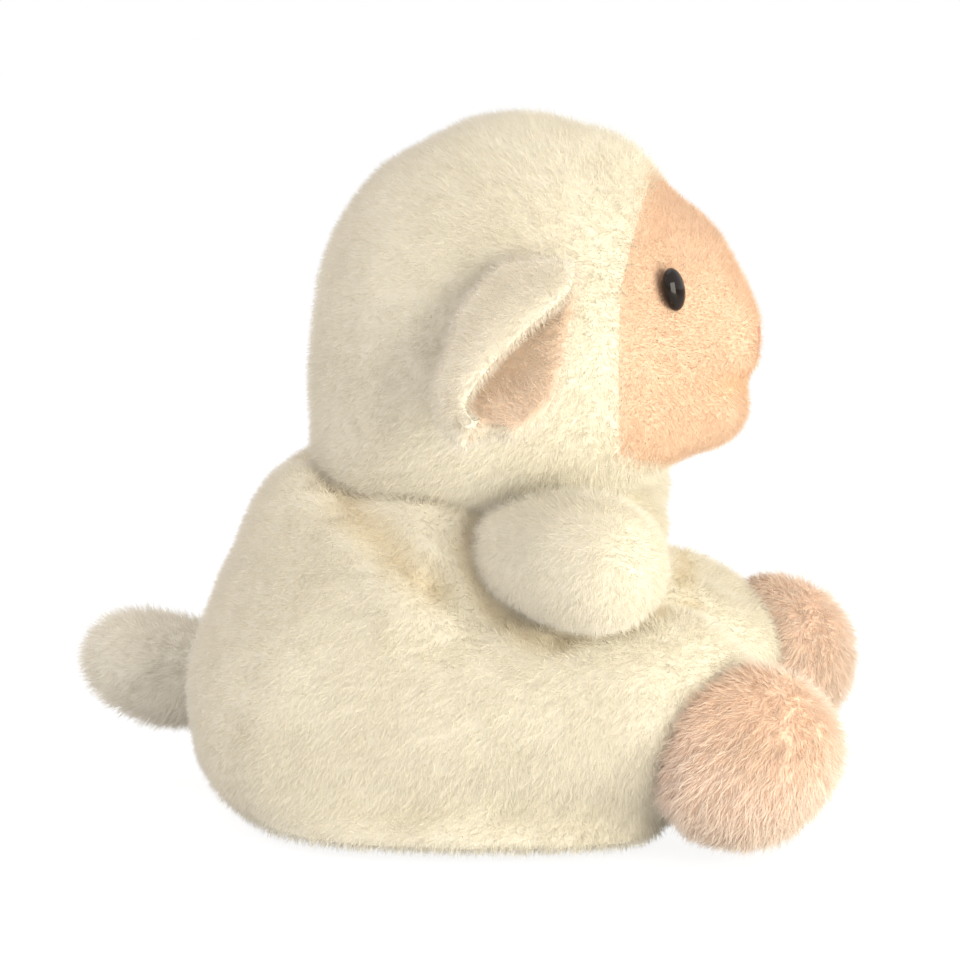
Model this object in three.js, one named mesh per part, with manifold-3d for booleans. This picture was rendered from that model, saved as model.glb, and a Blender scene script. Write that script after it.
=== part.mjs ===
// A sitting plush sheep with a bean-weighted body, in millimetres and radians.
// The origin is the middle of the flat base. X is the sheep's left, -Y is forward and +Z is up.
// Places are written as (x, forward, z), and place() turns forward into -Y.

import * as THREE from 'three';
import { mergeVertices } from 'three/addons/utils/BufferGeometryUtils.js';
import Module from 'manifold-3d';

const wasm = await Module();
wasm.setup();

// Cloth, seams and clearances
const seamGap = 0.3; // between pieces that touch
const jointGap = 0.4; // around a root that turns in its socket
const collarGap = 2.4; // between the head's underside and the body's collar
const cheekGap = 3.5; // between an arm and the head over it
const lapGap = 0.7; // between an arm and the thigh under it
const pileWall = 2.4; // cloth backing with its pile
const overrun = 10; // how far a cutting block passes what it cuts

// Body: a slumped sack with a flat base
const bodyHeight = 66;
const bodyBack = 49;
const bodyFront = 40;
const bodyHalfWidth = 46;
const baseSeamHeight = 7;
const pouchTop = 18;
const bellyHalfWidth = 30;
const bellyStart = 15; // forward place where the belly panel begins

// Head: an egg with a raised muzzle
const headBottom = 52;
const headHeight = 74.5;
const headBack = 24;
const headFront = 59.5;
const headHalfWidth = 36;
const muzzleRise = 9.5;
const muzzleHalfWidth = 13;
const faceSeamFront = 38;
const faceSeamLean = 0.06;
const gussetHalfWidth = 11;

// Places on the head, as shares of its height or half width
const faceSeamShare = 0.483; // height at which the seam stands at faceSeamFront
const gussetBottomShare = 0.268;
const eyeHeightShare = 0.604;
const eyeSideShare = 0.522;
const noseHeightShare = 0.463;
const earHeightShare = 0.631;
const earSideShare = 1.05;

// Neck: a ball of stuffing that the head turns and nods on
const neckForward = 8;
const neckHeight = 58;
const neckRadius = 14;
const neckSeat = 3; // depth of the neck in the body's stuffing

// Eyes, with a stem through the face and a washer behind it
const eyeRadius = 4.1;
const eyeRise = 2.9;
const eyeSink = 0.4; // depth of the eye's back below the pile
const stemRadius = 1.1;
const stemLength = 6;
const washerRadius = 4.2;
const washerThickness = 1;
const washerDepth = 3.4; // from the eye's back to the washer's face

// Stitched nose and mouth
const threadThickness = 0.8;
const noseHalfWidth = 3.6;
const noseHalfHeight = 2.3;
const mouthDrop = 4.4; // from the nose to the mouth's line
const mouthHalfWidth = 4.6;
const threadWidth = 1;

// Ears: cupped leaves of two cloths
const earLength = 35;
const earHalfWidth = 11.5;
const earCupRadius = 10;
const earClothThickness = 2.3;
const earSocketGap = 0.9; // around the ear's root in the head
const earRootForward = 23;

// Arms, each with a round root centred on its shoulder
const armReach = 29; // from the shoulder to the tip
const armRadius = 12.8;
const shoulderSide = 31;
const shoulderForward = 17;
const shoulderHeight = 50.5;

// Legs, each with a round root centred on its hip, and feet
const legReach = 47; // from the hip to the tip
const legRadius = 21;
const hipSide = 25.5;
const hipForward = 17;
const hipHeight = 23;
const footLength = 34;
const footRadius = 16.6;
const footSide = 36.5;
const footLap = 21.5; // how far the foot reaches back over the leg
const footHeight = 18.6;

// Tail, with a round root centred on its pivot
const tailReach = 22;
const tailRadius = 10.4;
const tailForward = -45.5;
const tailHeight = 21;

// Directions and turns
const armAims = { right: [-0.72, 0.69, -0.04], left: [0.86, 0.5, -0.04] };
const legAims = { right: [-0.07, 1, 0.035], left: [0.07, 1, 0.035] };
const tailAim = [0, -1, 0.12];
const earAims = { right: [-0.56, -0.33, -0.76], left: [0.56, -0.33, -0.76] };
const earFaces = { right: [-0.2, 0.84, -0.5], left: [0.2, 0.84, -0.5] };
const eyeAims = { right: [-0.52, 0.84, 0.1], left: [0.52, 0.84, 0.1] };
const armRaise = THREE.MathUtils.degToRad(20);
const armLower = THREE.MathUtils.degToRad(2);
const legLift = THREE.MathUtils.degToRad(5);
const tailWag = THREE.MathUtils.degToRad(15);

// Outlines as shares of the sizes that they follow.
// Body rows: height, reach to the back, reach to the front, half width.
const bodyShares = [
  [0, 0.7, 0.42, 0.7],
  [0.035, 0.87, 0.52, 0.87],
  [0.12, 0.98, 0.6, 0.97],
  [0.27, 1, 0.66, 1],
  [0.42, 0.94, 0.71, 0.98],
  [0.58, 0.84, 0.84, 0.92],
  [0.73, 0.76, 0.99, 0.83],
  [0.84, 0.67, 0.95, 0.76],
  [0.93, 0.56, 0.82, 0.7],
  [1, 0.47, 0.7, 0.62],
];
// Head rows: height, reach to the back, reach to the front, half width, muzzle rise.
const headShares = [
  [0, 0.76, 0.5, 0.72, 0],
  [0.08, 0.93, 0.61, 0.83, 0],
  [0.145, 0.97, 0.75, 0.87, 0.25],
  [0.19, 0.965, 0.885, 0.91, 0.65],
  [0.245, 0.965, 0.95, 0.95, 0.9],
  [0.29, 0.98, 0.972, 0.97, 0.97],
  [0.34, 0.995, 0.962, 0.99, 1],
  [0.41, 0.99, 0.992, 1, 1],
  [0.5, 0.95, 0.975, 1, 0.95],
  [0.6, 0.89, 0.925, 0.965, 0.75],
  [0.7, 0.78, 0.835, 0.89, 0.42],
  [0.78, 0.64, 0.745, 0.79, 0.16],
  [0.86, 0.43, 0.64, 0.65, 0],
  [0.93, 0.14, 0.52, 0.46, 0],
  [0.98, -0.08, 0.4, 0.24, 0],
  [1, -0.2, 0.31, 0.08, 0],
];
// Limb rows: way from the pivot or heel to the tip, radius.
const armShares = [[0, 1], [0.3, 1.02], [0.6, 0.98], [0.84, 0.76], [0.96, 0.42], [1, 0.15]];
const legShares = [[0, 1], [0.3, 1.01], [0.58, 0.98], [0.8, 0.83], [0.95, 0.5], [1, 0.2]];
const footShares = [[0, 0.3], [0.07, 0.56], [0.24, 0.9], [0.5, 1], [0.74, 0.92], [0.91, 0.64], [1, 0.25]];
const tailShares = [[0, 1], [0.35, 1.03], [0.68, 0.9], [0.9, 0.62], [1, 0.3]];
const earShares = [[0, 0.5], [0.15, 0.8], [0.4, 1], [0.65, 0.9], [0.86, 0.58], [1, 0.12]];
const bodyRoundShare = 2.25; // power of the body's cross-section, where 2 is an ellipse
const headRoundShare = 2.2;
const earThinShare = 0.25; // added to the ear's outline to thin its cloth towards the tip

// Counts of faces round a form and of steps along it
const bodySides = 20;
const bodySteps = 10;
const headSides = 22;
const headSteps = 15;
const headRoomSides = 14;
const headRoomSteps = 8;
const limbSides = 12;
const limbSteps = 5;
const ballSteps = 3;
const footSteps = 6;
const neckSides = 12;
const earSteps = 6;
const eyeSides = 12;
const eyeSteps = 4;
const washerSides = 10;
const threadSteps = 3;

const stuffingTop = neckHeight - neckRadius + neckSeat;
const footHeelForward = hipForward + legReach - footLap;
const heightOnHead = (share) => headBottom + headHeight * share;
const faceSeamHeight = heightOnHead(faceSeamShare);
const gussetBottom = heightOnHead(gussetBottomShare);
const eyeHeight = heightOnHead(eyeHeightShare);
const eyeSide = headHalfWidth * eyeSideShare;
const noseHeight = heightOnHead(noseHeightShare);
const earRootHeight = heightOnHead(earHeightShare);
const earRootSide = headHalfWidth * earSideShare;

const place = (x, forward, z) => new THREE.Vector3(x, -forward, z);
const aim = ([x, forward, z]) => place(x, forward, z).normalize();

// A value of a smooth curve through four rows, between the middle two.
function between(rows, at, column) {
  const last = rows.length - 1;
  const low = Math.min(Math.floor(at), last - 1);
  const t = at - low;
  const pick = (i) => rows[THREE.MathUtils.clamp(i, 0, last)][column];
  const [a, b, c, d] = [pick(low - 1), pick(low), pick(low + 1), pick(low + 2)];
  const slopeIn = (c - a) / 2;
  const slopeOut = (d - b) / 2;
  return b + t * (slopeIn + t * (3 * (c - b) - 2 * slopeIn - slopeOut + t * (2 * (b - c) + slopeIn + slopeOut)));
}

// A closed geometry lofted through rings of points, with a fan on each end.
function loft(rings) {
  const sides = rings[0].length;
  const positions = [];
  const faces = [];
  const middle = (ring) => ring.reduce((sum, p) => sum.add(p), new THREE.Vector3()).divideScalar(sides);
  rings.forEach((ring) => ring.forEach((p) => positions.push(...p.toArray())));
  const first = rings.length * sides;
  positions.push(...middle(rings[0]).toArray(), ...middle(rings[rings.length - 1]).toArray());
  for (let i = 0; i < sides; i += 1) {
    const next = (i + 1) % sides;
    faces.push(first, next, i);
    for (let r = 0; r + 1 < rings.length; r += 1) {
      const [a, b] = [r * sides + i, r * sides + next];
      faces.push(a, b, b + sides, a, b + sides, a + sides);
    }
    const top = (rings.length - 1) * sides;
    faces.push(first + 1, top + i, top + next);
  }
  const geometry = new THREE.BufferGeometry();
  geometry.setAttribute('position', new THREE.Float32BufferAttribute(positions, 3));
  geometry.setIndex(faces);
  return geometry;
}

// The same closed surface moved along its normals, outwards where the distance is positive.
function swollen(geometry, distance) {
  const moved = geometry.clone();
  moved.computeVertexNormals();
  const point = new THREE.Vector3();
  const normal = new THREE.Vector3();
  const positions = moved.getAttribute('position');
  for (let i = 0; i < positions.count; i += 1) {
    normal.fromBufferAttribute(moved.getAttribute('normal'), i);
    point.fromBufferAttribute(positions, i).addScaledVector(normal, distance);
    positions.setXYZ(i, point.x, point.y, point.z);
  }
  moved.deleteAttribute('normal');
  return moved;
}

function solid(geometry) {
  const bare = geometry.clone();
  bare.deleteAttribute('normal');
  bare.deleteAttribute('uv');
  const merged = mergeVertices(bare);
  return new wasm.Manifold(new wasm.Mesh({
    numProp: 3,
    vertProperties: Float32Array.from(merged.getAttribute('position').array),
    triVerts: Uint32Array.from(merged.getIndex().array),
  }));
}

function geometryOf(body) {
  const mesh = body.getMesh();
  const geometry = new THREE.BufferGeometry();
  geometry.setAttribute('position', new THREE.BufferAttribute(mesh.vertProperties, 3));
  geometry.setIndex(new THREE.BufferAttribute(mesh.triVerts, 1));
  return geometry;
}

// A cutting block from one corner to the other, both written as (x, forward, z).
function block(low, high) {
  const [a, b] = [place(...low), place(...high)];
  const size = b.clone().sub(a);
  const box = new THREE.BoxGeometry(Math.abs(size.x), Math.abs(size.y), Math.abs(size.z));
  box.translate(...a.add(b).divideScalar(2).toArray());
  return box;
}

const wide = bodyHalfWidth + footSide + overrun;
const far = bodyBack + headFront + footLength + overrun;
const tall = headBottom + headHeight + overrun;

const leftOf = (x) => solid(block([x, -far, -overrun], [wide, far, tall]));
const rightOf = (x) => solid(block([-wide, -far, -overrun], [x, far, tall]));
const above = (z) => solid(block([-wide, -far, z], [wide, far, tall]));
const below = (z) => solid(block([-wide, -far, -overrun], [wide, far, z]));

// Turn a geometry about an axis through a pivot.
function turned(geometry, pivot, axis, angle) {
  const copy = geometry.clone();
  copy.translate(-pivot.x, -pivot.y, -pivot.z);
  copy.applyMatrix4(new THREE.Matrix4().makeRotationAxis(axis, angle));
  copy.translate(pivot.x, pivot.y, pivot.z);
  return copy;
}

// Cross-section of the body at one row of its outline
function bodyRing(at) {
  const z = bodyHeight * between(bodyShares, at, 0);
  const back = bodyBack * between(bodyShares, at, 1);
  const front = bodyFront * between(bodyShares, at, 2);
  const half = bodyHalfWidth * between(bodyShares, at, 3);
  return roundedRing(bodySides, bodyRoundShare, half, back, front, z);
}

function roundedRing(sides, power, half, back, front, z, bulge = () => 0) {
  const ring = [];
  for (let i = 0; i < sides; i += 1) {
    const angle = (i / sides) * 2 * Math.PI;
    const bend = (value) => Math.sign(value) * Math.abs(value) ** (2 / power);
    const x = half * bend(Math.cos(angle));
    const ahead = (front - back) / 2 - ((front + back) / 2) * bend(Math.sin(angle));
    ring.push(place(x, ahead + bulge(x, -Math.sin(angle)), z));
  }
  return ring;
}

function bodyForm() {
  const rings = [];
  for (let r = 0; r <= bodySteps; r += 1) {
    rings.push(bodyRing((r / bodySteps) * (bodyShares.length - 1)));
  }
  return loft(rings);
}

// Sizes of the head at one row of its outline
function headRow(at) {
  const rise = muzzleRise * between(headShares, at, 4);
  return {
    z: headBottom + headHeight * between(headShares, at, 0),
    back: headBack * between(headShares, at, 1),
    front: headFront * between(headShares, at, 2) - rise,
    half: headHalfWidth * between(headShares, at, 3),
    bulge: (x, ahead) => rise * Math.exp(-((x / muzzleHalfWidth) ** 2)) * Math.max(ahead, 0),
  };
}

function headForm(sides, count) {
  const rings = [];
  for (let r = 0; r <= count; r += 1) {
    const { z, back, front, half, bulge } = headRow((r / count) * (headShares.length - 1));
    rings.push(roundedRing(sides, headRoundShare, half, back, front, z, bulge));
  }
  return loft(rings);
}

// Forward place of the face at a width and height
function faceForward(x, height) {
  let [low, high] = [0, headShares.length - 1];
  const halvings = 30;
  for (let i = 0; i < halvings; i += 1) {
    const middle = (low + high) / 2;
    if (headRow(middle).z < height) low = middle;
    else high = middle;
  }
  const { back, front, half, bulge } = headRow(low);
  const ahead = Math.sqrt(1 - Math.abs(x / half) ** headRoundShare);
  return (front - back) / 2 + ((front + back) / 2) * ahead ** (2 / headRoundShare) + bulge(x, ahead);
}

// A form of round sections along a direction, from rows of [way along, radius].
function spindle(start, direction, rows, sides) {
  const across = new THREE.Vector3().crossVectors(direction, place(0, 0, 1)).normalize();
  const up = new THREE.Vector3().crossVectors(across, direction);
  const rings = rows.map(([along, radius]) => {
    const ring = [];
    for (let i = 0; i < sides; i += 1) {
      const angle = (i / sides) * 2 * Math.PI;
      ring.push(start.clone()
        .addScaledVector(direction, along)
        .addScaledVector(across, radius * Math.cos(angle))
        .addScaledVector(up, -radius * Math.sin(angle)));
    }
    return ring;
  });
  return loft(rings);
}

// Rows of the half ball behind a pivot, without the row at the pivot
function ballRows(radius) {
  const rows = [];
  for (let i = 0; i < ballSteps; i += 1) {
    const angle = ((i + 1 / 2) / (ballSteps + 1 / 2)) * (Math.PI / 2);
    rows.push([-radius * Math.cos(angle), radius * Math.sin(angle)]);
  }
  return rows;
}

function outlineRows(length, radius, shares, count) {
  const rows = [];
  for (let i = 0; i <= count; i += 1) {
    const at = (i / count) * (shares.length - 1);
    rows.push([length * between(shares, at, 0), radius * between(shares, at, 1)]);
  }
  return rows;
}

function limbForm(pivot, direction, reach, radius, shares) {
  const rows = [...ballRows(radius), ...outlineRows(reach, radius, shares, limbSteps)];
  return spindle(pivot, direction, rows, limbSides);
}

// The room that a limb needs: a half ball round its root, opening out by its range.
// Its flats, not its corners, keep the gap.
function socketForm(pivot, direction, reach, radius, range) {
  const roomRadius = (radius + jointGap) / Math.cos(Math.PI / limbSides);
  const mouth = roomRadius + reach * Math.tan(range);
  return spindle(pivot, direction, [...ballRows(roomRadius), [0, roomRadius], [reach, mouth]], limbSides);
}

// Nothing presses on a form
const free = () => null;

// A form cut back by what presses on it, where pressedBy(growth) is that room grown by a wall
function cutForm(form, depth, pressedBy) {
  const inside = solid(depth > 0 ? swollen(form, -depth) : form);
  const room = pressedBy(depth);
  return room ? inside.subtract(room) : inside;
}

// Skin between a form and its inside, and the filling that the skin holds
const shellOf = (form, pressedBy = free) => cutForm(form, 0, pressedBy)
  .subtract(cutForm(form, pileWall, pressedBy));
const coreOf = (form, pressedBy = free) => cutForm(form, pileWall + seamGap, pressedBy);

const sheep = new THREE.Group();

const cream = { color: 0xf7efd6, roughness: 0.95, metalness: 0 };
const peach = { color: 0xfad0b0, roughness: 0.95, metalness: 0 };
const filling = { color: 0xf4f4f0, roughness: 1, metalness: 0 };
const pouchCloth = { color: 0xe6dfd0, roughness: 0.9, metalness: 0 };
const eyeGloss = { color: 0x17100e, roughness: 0.08, metalness: 0 };
const washerPlastic = { color: 0xe9e9e4, roughness: 0.5, metalness: 0 };
const thread = { color: 0xd9998a, roughness: 0.8, metalness: 0 };

function add(name, body, finish) {
  const mesh = new THREE.Mesh(geometryOf(body), new THREE.MeshStandardMaterial(finish));
  mesh.name = name;
  sheep.add(mesh);
}

const sideSigns = { left: 1, right: -1 };
const sides = Object.keys(sideSigns);
const sideways = new THREE.Vector3(1, 0, 0);
const upright = new THREE.Vector3(0, 0, 1);
const lengthways = new THREE.Vector3(0, 1, 0);

// Forms of every soft part, before any of them is cut

const body = bodyForm();
const head = headForm(headSides, headSteps);
const headRoomForm = headForm(headRoomSides, headRoomSteps);
const neckPivot = place(0, neckForward, neckHeight);
const tailRoot = place(0, tailForward, tailHeight);
const tailDirection = aim(tailAim);
const tail = limbForm(tailRoot, tailDirection, tailReach, tailRadius, tailShares);

const limbs = {};
for (const side of sides) {
  const sign = sideSigns[side];
  const shoulder = place(sign * shoulderSide, shoulderForward, shoulderHeight);
  const hip = place(sign * hipSide, hipForward, hipHeight);
  const armAim = aim(armAims[side]);
  const legAim = aim(legAims[side]);
  const heel = place(sign * footSide, footHeelForward, footHeight);
  const leg = limbForm(hip, legAim, legReach, legRadius, legShares);
  const footRows = outlineRows(footLength, footRadius, footShares, footSteps);
  limbs[side] = {
    sign,
    shoulder,
    hip,
    leg,
    arm: limbForm(shoulder, armAim, armReach, armRadius, armShares),
    armSocket: socketForm(shoulder, armAim, armReach, armRadius, armRaise),
    armPressedBy: armRoom(shoulder, armAim, hip, leg),
    legSocket: socketForm(hip, legAim, legReach, legRadius, legLift),
    foot: spindle(heel, aim([0, 1, 0]), footRows, limbSides),
  };
}

// What presses on an arm as it swings: the head above it, and the thigh below it, which lifts
function armRoom(shoulder, armAim, hip, leg) {
  const axis = new THREE.Vector3().crossVectors(armAim, upright).normalize();
  return (growth) => {
    const cheek = swollen(headRoomForm, cheekGap + growth);
    const lap = swollen(leg, lapGap + growth);
    const lifted = turned(lap, hip, sideways, -legLift);
    return [
      turned(cheek, shoulder, axis, -armRaise),
      turned(cheek, shoulder, axis, 0),
      turned(lifted, shoulder, axis, -armRaise),
      turned(lifted, shoulder, axis, -armRaise / 2),
      turned(lifted, shoulder, axis, 0),
      turned(lap, shoulder, axis, armLower),
    ].map(solid).reduce((all, one) => all.add(one));
  };
}

// Room cut in the body for the head, arms, legs and tail as they move
function bodyRoom() {
  let room = solid(swollen(headRoomForm, collarGap));
  for (const side of sides) {
    room = room.add(solid(limbs[side].armSocket)).add(solid(limbs[side].legSocket));
  }
  return room.add(solid(socketForm(tailRoot, tailDirection, tailReach, tailRadius, tailWag)));
}

// Body: base, two sides and belly over a bean pouch and stuffing

function buildBody() {
  const room = bodyRoom();
  const shell = shellOf(body).subtract(room);
  const core = coreOf(body).subtract(room);
  const belly = solid(block([-bellyHalfWidth, bellyStart, -overrun], [bellyHalfWidth, far, tall]));
  const bellyWithSeam = solid(block(
    [-bellyHalfWidth - seamGap, bellyStart - seamGap, -overrun],
    [bellyHalfWidth + seamGap, far, tall],
  ));
  const upper = shell.intersect(above(baseSeamHeight + seamGap));
  add('base_panel', shell.intersect(below(baseSeamHeight)), cream);
  add('belly_panel', upper.intersect(belly), cream);
  add('body_side_left', upper.subtract(bellyWithSeam).intersect(leftOf(seamGap / 2)), cream);
  add('body_side_right', upper.subtract(bellyWithSeam).intersect(rightOf(-seamGap / 2)), cream);
  add('bean_pouch', core.intersect(below(pouchTop)), pouchCloth);
  add('body_stuffing', core.intersect(above(pouchTop + seamGap)).intersect(below(stuffingTop))
    .subtract(neckSocket()), filling);
}

// Neck: a ball of stuffing, in sockets whose flats keep the gap

const neckSocket = () => solid(neckForm((neckRadius + jointGap) / Math.cos(Math.PI / neckSides)));

function neckForm(radius) {
  const ball = new THREE.SphereGeometry(radius, neckSides, neckSides);
  ball.rotateX(Math.PI / 2);
  ball.translate(...neckPivot.toArray());
  return ball;
}

function buildNeck() {
  add('neck_stuffing', solid(neckForm(neckRadius)), filling);
}

// Eyes are domes on a stem, and the growth makes their pockets

function eyeForm(side, growth) {
  const points = [
    new THREE.Vector2(0, -stemLength - growth),
    new THREE.Vector2(stemRadius + growth, -stemLength - growth),
    new THREE.Vector2(stemRadius + growth, -growth),
    new THREE.Vector2(eyeRadius + growth, -growth),
  ];
  for (let i = 1; i <= eyeSteps; i += 1) {
    const angle = (i / eyeSteps) * (Math.PI / 2);
    points.push(new THREE.Vector2(
      (eyeRadius + growth) * Math.cos(angle),
      (eyeRise + growth) * Math.sin(angle),
    ));
  }
  points[points.length - 1].x = 0;
  return seatedEye(new THREE.LatheGeometry(points, eyeSides), side);
}

function washerForm(side, growth) {
  const inner = stemRadius + seamGap;
  const hole = Math.max(inner - growth, 0);
  const face = -washerDepth + growth;
  const rear = -washerDepth - washerThickness - growth;
  const outer = washerRadius + growth;
  const points = [[hole, rear], [outer, rear], [outer, face], [hole, face], [hole, rear]]
    .map(([x, y]) => new THREE.Vector2(x, y));
  return seatedEye(new THREE.LatheGeometry(points, washerSides), side);
}

function seatedEye(geometry, side) {
  const turn = new THREE.Quaternion().setFromUnitVectors(lengthways, aim(eyeAims[side]));
  geometry.applyQuaternion(turn);
  const seat = place(sideSigns[side] * eyeSide, faceForward(eyeSide, eyeHeight), eyeHeight);
  geometry.translate(...seat.addScaledVector(aim(eyeAims[side]), -eyeSink).toArray());
  return geometry;
}

// Thread that lies on the face, where a prism along Y meets a thin skin over it

function threadSkin() {
  return solid(swollen(head, seamGap + threadThickness)).subtract(solid(swollen(head, seamGap)));
}

function threadPrism(outline) {
  const settings = { depth: far, bevelEnabled: false, curveSegments: threadSteps };
  const prism = new THREE.ExtrudeGeometry(outline, settings);
  prism.rotateX(Math.PI / 2);
  prism.translate(0, -faceSeamFront, 0);
  return solid(prism);
}

function noseOutline() {
  const outline = new THREE.Shape();
  const tip = noseHeight - noseHalfHeight;
  const top = noseHeight + noseHalfHeight;
  outline.moveTo(0, tip);
  outline.quadraticCurveTo(noseHalfWidth, noseHeight, noseHalfWidth, top);
  outline.quadraticCurveTo(0, top + threadWidth, -noseHalfWidth, top);
  outline.quadraticCurveTo(-noseHalfWidth, noseHeight, 0, tip);
  return outline;
}

function mouthOutline() {
  const half = threadWidth / 2;
  const top = noseHeight - noseHalfHeight - seamGap;
  const mouthHeight = top - mouthDrop;
  const dip = mouthHeight - threadWidth;
  const bend = mouthHalfWidth / 2;
  const outline = new THREE.Shape();
  outline.moveTo(-half, top);
  outline.lineTo(-half, mouthHeight);
  outline.quadraticCurveTo(-bend, dip, -mouthHalfWidth, mouthHeight + half);
  outline.lineTo(-mouthHalfWidth, mouthHeight - half);
  outline.quadraticCurveTo(-bend, dip - threadWidth, 0, mouthHeight - threadWidth);
  outline.quadraticCurveTo(bend, dip - threadWidth, mouthHalfWidth, mouthHeight - half);
  outline.lineTo(mouthHalfWidth, mouthHeight + half);
  outline.quadraticCurveTo(bend, dip, half, mouthHeight);
  outline.lineTo(half, top);
  return outline;
}

// Everything in front of the leaning face seam, moved by a shift
function faceSide(shift) {
  const cut = block([-wide, faceSeamFront + shift, -tall], [wide, faceSeamFront + far, tall]);
  const pivot = place(0, faceSeamFront, faceSeamHeight);
  cut.translate(0, 0, faceSeamHeight);
  return solid(turned(cut, pivot, sideways, faceSeamLean));
}

// Ears: two cloths bent round one cup

function earLeaf(side, inner, outer) {
  const rings = [];
  for (let r = 0; r <= earSteps; r += 1) {
    const at = (r / earSteps) * (earShares.length - 1);
    const along = earLength * between(earShares, at, 0);
    const width = earHalfWidth * between(earShares, at, 1);
    const taper = Math.min(1, between(earShares, at, 1) + earThinShare);
    const ring = [];
    for (let i = 0; i <= earSteps; i += 1) {
      const across = width * (1 - (2 * i) / earSteps);
      ring.push(earPoint(along, across, inner));
    }
    for (let i = earSteps - 1; i > 0; i -= 1) {
      const across = width * (1 - (2 * i) / earSteps);
      const crown = Math.sqrt(1 - (across / width) ** 2);
      ring.push(earPoint(along, across, inner + (outer - inner) * crown * taper));
    }
    rings.push(outer > inner ? ring.reverse() : ring);
  }
  const leaf = loft(rings);
  leaf.applyMatrix4(earSeat(side));
  return leaf;
}

// A point of the ear: way along, way across round the cup, and height off the middle cloth
function earPoint(along, across, lift) {
  const bend = across / earCupRadius;
  const reach = earCupRadius - lift;
  return new THREE.Vector3(along, reach * Math.sin(bend), earCupRadius - reach * Math.cos(bend));
}

function earSeat(side) {
  const direction = aim(earAims[side]);
  const facing = aim(earFaces[side]);
  facing.addScaledVector(direction, -facing.dot(direction)).normalize();
  const across = new THREE.Vector3().crossVectors(facing, direction);
  const root = place(sideSigns[side] * earRootSide, earRootForward, earRootHeight);
  return new THREE.Matrix4().makeBasis(direction, across, facing).setPosition(root);
}

function earRoom(side) {
  return [earClothThickness, -earClothThickness]
    .map((outer) => solid(swollen(earLeaf(side, 0, outer), earSocketGap)))
    .reduce((all, one) => all.add(one));
}

function buildEars() {
  for (const side of sides) {
    add(`ear_lining_${side}`, solid(earLeaf(side, seamGap, earClothThickness)), peach);
    add(`ear_outer_${side}`, solid(earLeaf(side, -seamGap / 2, -earClothThickness)), cream);
  }
}

// Head: two sides and a gusset in cream, two face panels in peach, eyes and thread

function buildHead() {
  let room = neckSocket().add(earRoom('left')).add(earRoom('right'));
  for (const side of sides) {
    room = room.add(solid(eyeForm(side, seamGap))).add(solid(washerForm(side, seamGap)));
  }
  const shell = shellOf(head).subtract(room);
  const creamShell = shell.subtract(faceSide(-seamGap / 2));
  const face = shell.intersect(faceSide(seamGap / 2));
  const gusset = solid(block([-gussetHalfWidth, -far, gussetBottom], [gussetHalfWidth, far, tall]));
  const gussetWithSeam = solid(block(
    [-gussetHalfWidth - seamGap, -far, gussetBottom - seamGap],
    [gussetHalfWidth + seamGap, far, tall],
  ));
  add('head_gusset', creamShell.intersect(gusset), cream);
  add('head_side_left', creamShell.subtract(gussetWithSeam).intersect(leftOf(seamGap / 2)), cream);
  add('head_side_right', creamShell.subtract(gussetWithSeam).intersect(rightOf(-seamGap / 2)), cream);
  add('face_left', face.intersect(leftOf(seamGap / 2)), peach);
  add('face_right', face.intersect(rightOf(-seamGap / 2)), peach);
  add('head_stuffing', coreOf(head).subtract(room), filling);
  const skin = threadSkin();
  add('nose_stitching', skin.intersect(threadPrism(noseOutline())), thread);
  add('mouth_stitching', skin.intersect(threadPrism(mouthOutline())), thread);
  for (const side of sides) {
    add(`eye_${side}`, solid(eyeForm(side, 0)), eyeGloss);
    add(`eye_washer_${side}`, solid(washerForm(side, 0)), washerPlastic);
  }
}

// Arms: two halves over stuffing

function buildArms() {
  for (const side of sides) {
    const { arm, shoulder, armPressedBy } = limbs[side];
    const shell = shellOf(arm, armPressedBy);
    add(`arm_top_${side}`, shell.intersect(above(shoulder.z + seamGap / 2)), cream);
    add(`arm_palm_${side}`, shell.intersect(below(shoulder.z - seamGap / 2)), cream);
    add(`arm_stuffing_${side}`, coreOf(arm, armPressedBy), filling);
  }
}

// Legs: two cream halves over stuffing, with a peach foot of two halves on the end

function buildLegs() {
  for (const side of sides) {
    const { leg, foot, hip, sign } = limbs[side];
    const shell = shellOf(leg);
    const sole = solid(swollen(leg, seamGap));
    const footShell = shellOf(foot).subtract(sole);
    const seam = sign * footSide;
    const footHalves = { left: footShell.intersect(leftOf(seam + seamGap / 2)),
      right: footShell.intersect(rightOf(seam - seamGap / 2)) };
    const outward = side;
    const inward = side === 'left' ? 'right' : 'left';
    add(`leg_top_${side}`, shell.intersect(above(hip.z + seamGap / 2)), cream);
    add(`leg_under_${side}`, shell.intersect(below(hip.z - seamGap / 2)), cream);
    add(`leg_stuffing_${side}`, coreOf(leg), filling);
    add(`foot_outer_${side}`, footHalves[outward], peach);
    add(`foot_inner_${side}`, footHalves[inward], peach);
    add(`foot_stuffing_${side}`, coreOf(foot).subtract(sole), filling);
  }
}

// Tail: two halves over stuffing

function buildTail() {
  const shell = shellOf(tail);
  add('tail_left', shell.intersect(leftOf(seamGap / 2)), cream);
  add('tail_right', shell.intersect(rightOf(-seamGap / 2)), cream);
  add('tail_stuffing', coreOf(tail), filling);
}

buildBody();
buildNeck();
buildHead();
buildEars();
buildArms();
buildLegs();
buildTail();

export default sheep;
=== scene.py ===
import math
from contextlib import contextmanager
from functools import partial

import bmesh
import bpy
import numpy as np
from bpy.props import FloatProperty, FloatVectorProperty, PointerProperty
from mathutils import Matrix, Vector, noise
from mathutils.bvhtree import BVHTree


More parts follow.
